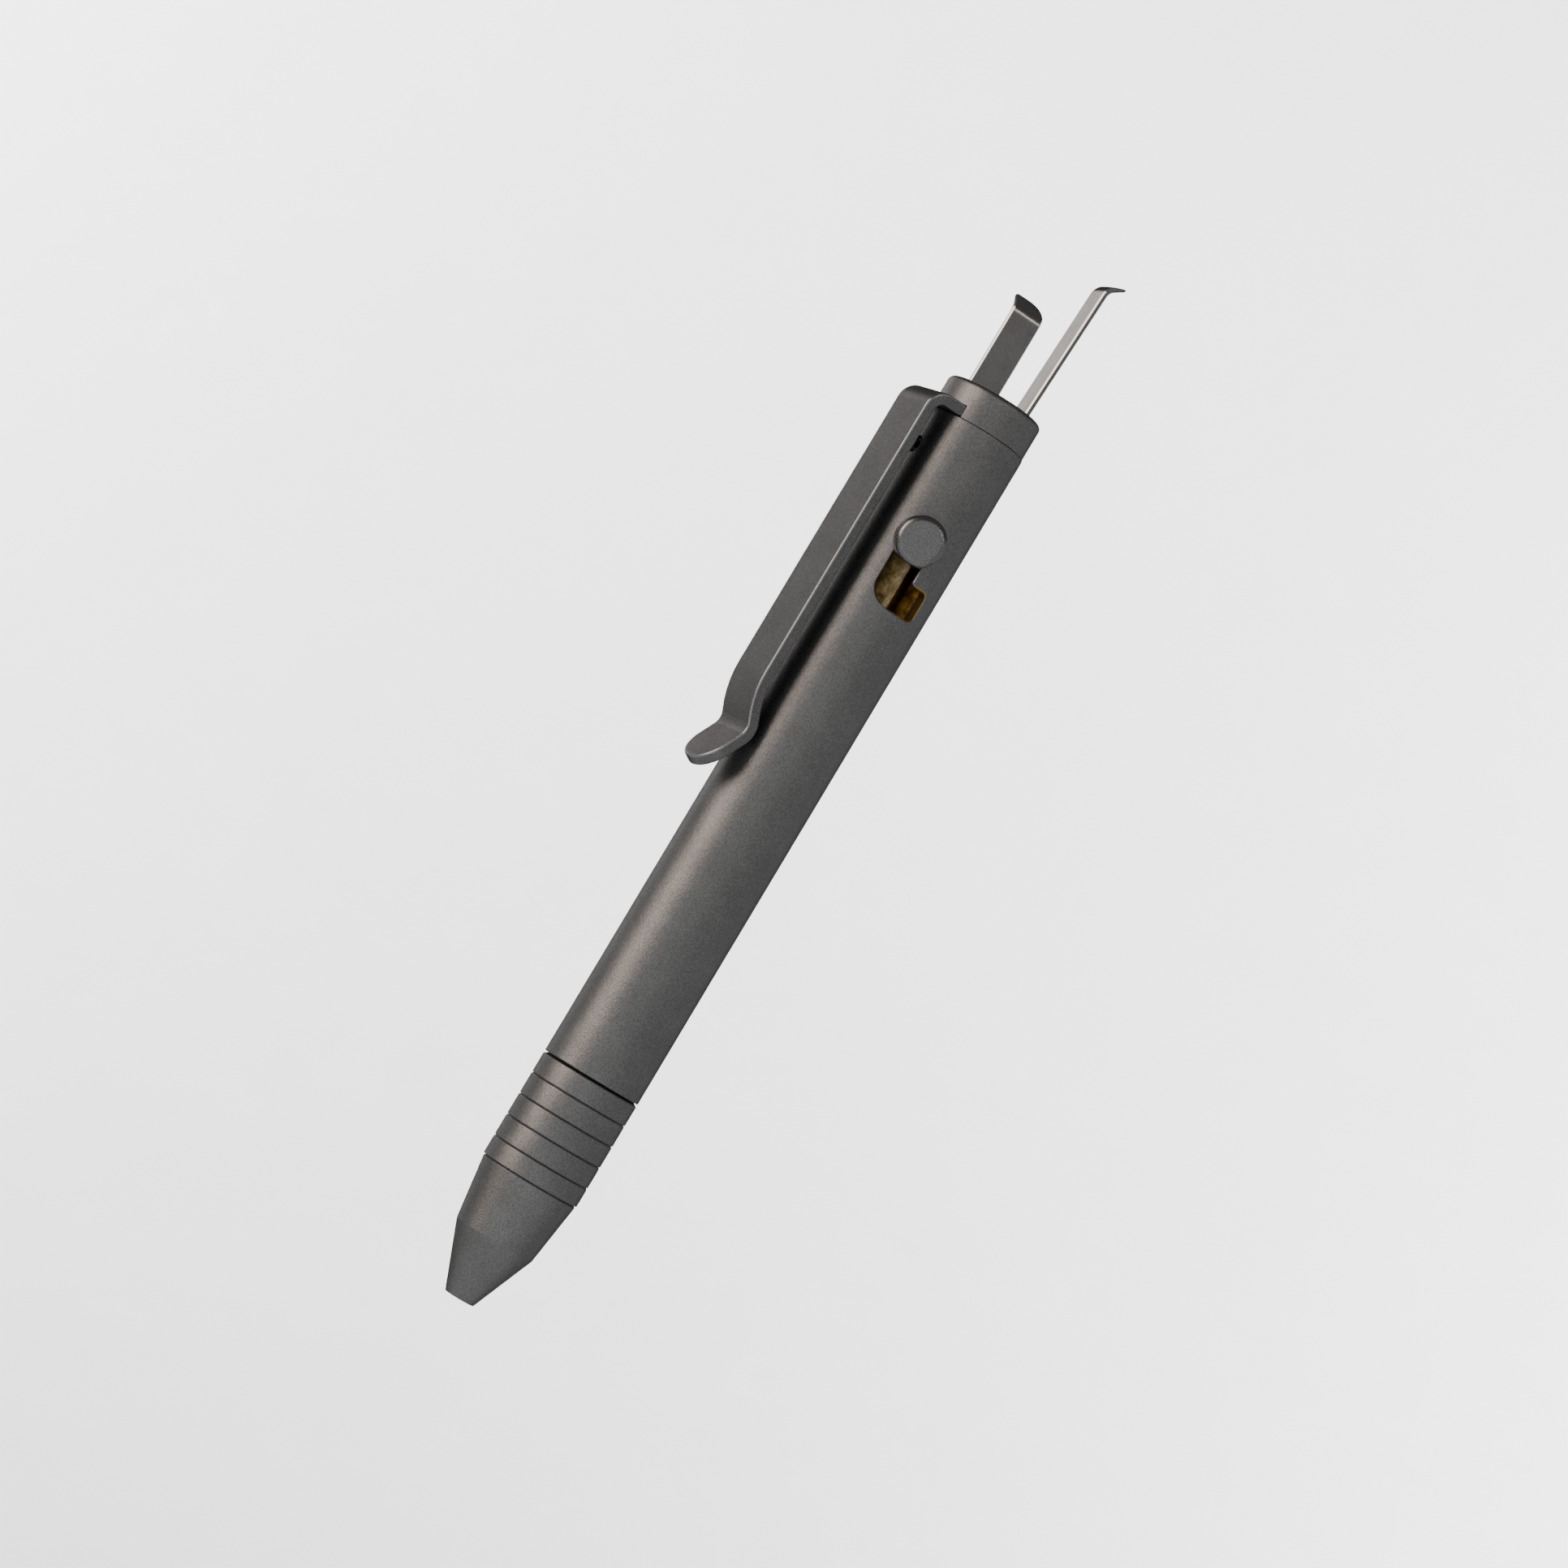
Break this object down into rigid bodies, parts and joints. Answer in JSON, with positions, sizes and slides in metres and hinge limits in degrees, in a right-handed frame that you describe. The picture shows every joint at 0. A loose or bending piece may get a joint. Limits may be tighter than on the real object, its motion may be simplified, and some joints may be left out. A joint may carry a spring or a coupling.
{
  "type": "bolt-action ballpoint pen",
  "caption": "Bolt-action ballpoint pen: plain metal barrel with a J-slot and round bolt knob, grooved grip section, bent pocket clip, and flat hook blades standing in the tail cap.",
  "frame": {"origin": "on the pen's axis in the barrel's rear face, where the clip is clamped under the tail cap and the pen hangs from a pocket's hem", "axes": "+Z along the pen from nose to tail, -X out through the pocket clip"},
  "size_m": [0.0153, 0.0141, 0.1241],
  "materials": {
    "titanium": "matte",
    "clip_titanium": "matte",
    "knob_titanium": "satin",
    "brass": "satin",
    "blade_steel": "gloss",
    "screw_steel": "satin",
    "rubber": "matte",
    "spring_steel": "satin",
    "plug_plastic": "matte",
    "nickel_silver": "gloss",
    "carbide": "gloss"
  },
  "bodies": {
    "pen_body": {"barrel": "titanium", "tail_cap": "titanium", "cap_set_screw": "screw_steel", "pocket_clip": "clip_titanium", "return_spring": "spring_steel"},
    "bolt": {"bolt_knob": "knob_titanium", "bolt_carrier": "brass", "refill_tube": "brass", "refill_plug": "plug_plastic", "refill_tip": "nickel_silver", "refill_ball": "carbide"},
    "grip_seal": {"grip_o_ring": "rubber"},
    "grip": {"grip_section": "titanium"},
    "short_blade": {"short_hook_blade": "blade_steel"},
    "long_blade": {"long_hook_blade": "blade_steel"}
  },
  "joints": [
    {"name": "bolt_slide", "type": "slide", "parent": "pen_body", "child": "bolt", "axis": [0, 0, -1], "range_m": [0, 0.0058], "stiffness_N_per_m": 400, "springref_m": -0.005, "deforming": ["return_spring"]},
    {"name": "grip_out", "type": "slide", "parent": "pen_body", "child": "grip_seal", "axis": [0, 0, -1], "range_m": [0, 0.00601]},
    {"name": "grip_turn", "type": "hinge", "parent": "grip_seal", "child": "grip", "pos_m": [0, 0, -0.0771], "axis": [0, 0, -1], "range_deg": [0, 2880]},
    {"name": "short_blade_slide", "type": "slide", "parent": "pen_body", "child": "short_blade", "axis": [0, 0, 1], "range_m": [0, 0.0085]},
    {"name": "long_blade_slide", "type": "slide", "parent": "pen_body", "child": "long_blade", "axis": [0.0395, -0.007, 0.9992], "range_m": [0, 0.0085]}
  ],
  "couplings": [
    {"joint": "grip_out", "follows": "grip_turn", "m_per_rad": 0.00011937}
  ]
}
